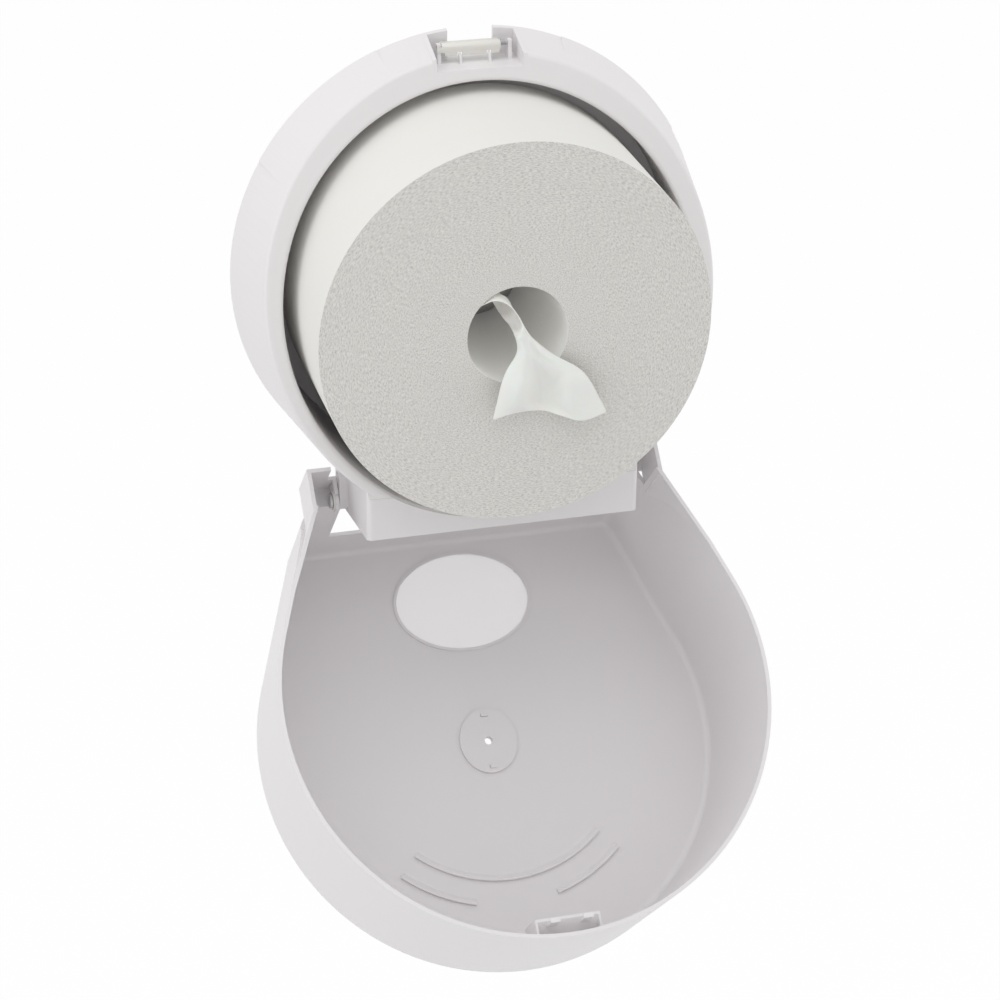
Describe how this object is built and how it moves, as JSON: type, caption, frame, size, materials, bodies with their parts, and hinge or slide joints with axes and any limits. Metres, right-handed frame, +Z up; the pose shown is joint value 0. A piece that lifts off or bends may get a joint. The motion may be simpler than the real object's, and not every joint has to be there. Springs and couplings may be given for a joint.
{
  "type": "jumbo toilet roll dispenser",
  "caption": "Round white wall dispenser for a large toilet roll, with its hinged teardrop cover swung down, a latch on top and the paper drawn from the roll's middle.",
  "frame": {"origin": "centre of the back face of the housing's floor plate, which lies on the wall plane, on the axis of the round housing", "axes": "+X to the right seen from the front, +Y into the wall, so the front faces -Y, +Z up"},
  "size_m": [0.3276, 0.3243, 0.6064],
  "materials": {
    "abs_white": "smooth moulded, soft sheen",
    "pin_steel": "plain drawn pin",
    "bush_nylon": "natural nylon",
    "latch_ivory": "ivory moulding",
    "spring_steel": "bright spring wire",
    "lens_frosted": "frosted translucent plastic",
    "tissue": "soft layered tissue paper"
  },
  "bodies": {
    "housing": {"housing_shell": "abs_white", "hinge_plate_left": "abs_white", "hinge_plate_right": "abs_white", "hinge_pin_left": "pin_steel", "hinge_pin_right": "pin_steel", "latch_pin": "pin_steel", "latch_spring": "spring_steel"},
    "cover": {"cover_shell": "abs_white", "window_lens": "lens_frosted", "nozzle_body": "abs_white", "nozzle_retainer": "abs_white", "keeper_bracket": "abs_white", "hinge_bush_left": "bush_nylon", "hinge_bush_right": "bush_nylon"},
    "latch": {"latch_bar": "latch_ivory"},
    "roll": {"paper_roll": "tissue", "tissue_tail": "tissue"}
  },
  "joints": [
    {"name": "cover_hinge", "type": "hinge", "parent": "housing", "child": "cover", "pos_m": [0, -0.033, -0.1515], "axis": [1, 0, 0], "range_deg": [-134.8, 0]},
    {"name": "latch_pivot", "type": "hinge", "parent": "housing", "child": "latch", "pos_m": [0, -0.0115, 0.1502], "axis": [1, 0, 0], "range_deg": [-18, 0], "stiffness_Nm_per_rad": 0.02, "springref_deg": 11.46},
    {"name": "roll_lift_out", "type": "slide", "parent": "housing", "child": "roll", "axis": [0, -1, 0], "range_m": [0, 0.14]}
  ]
}
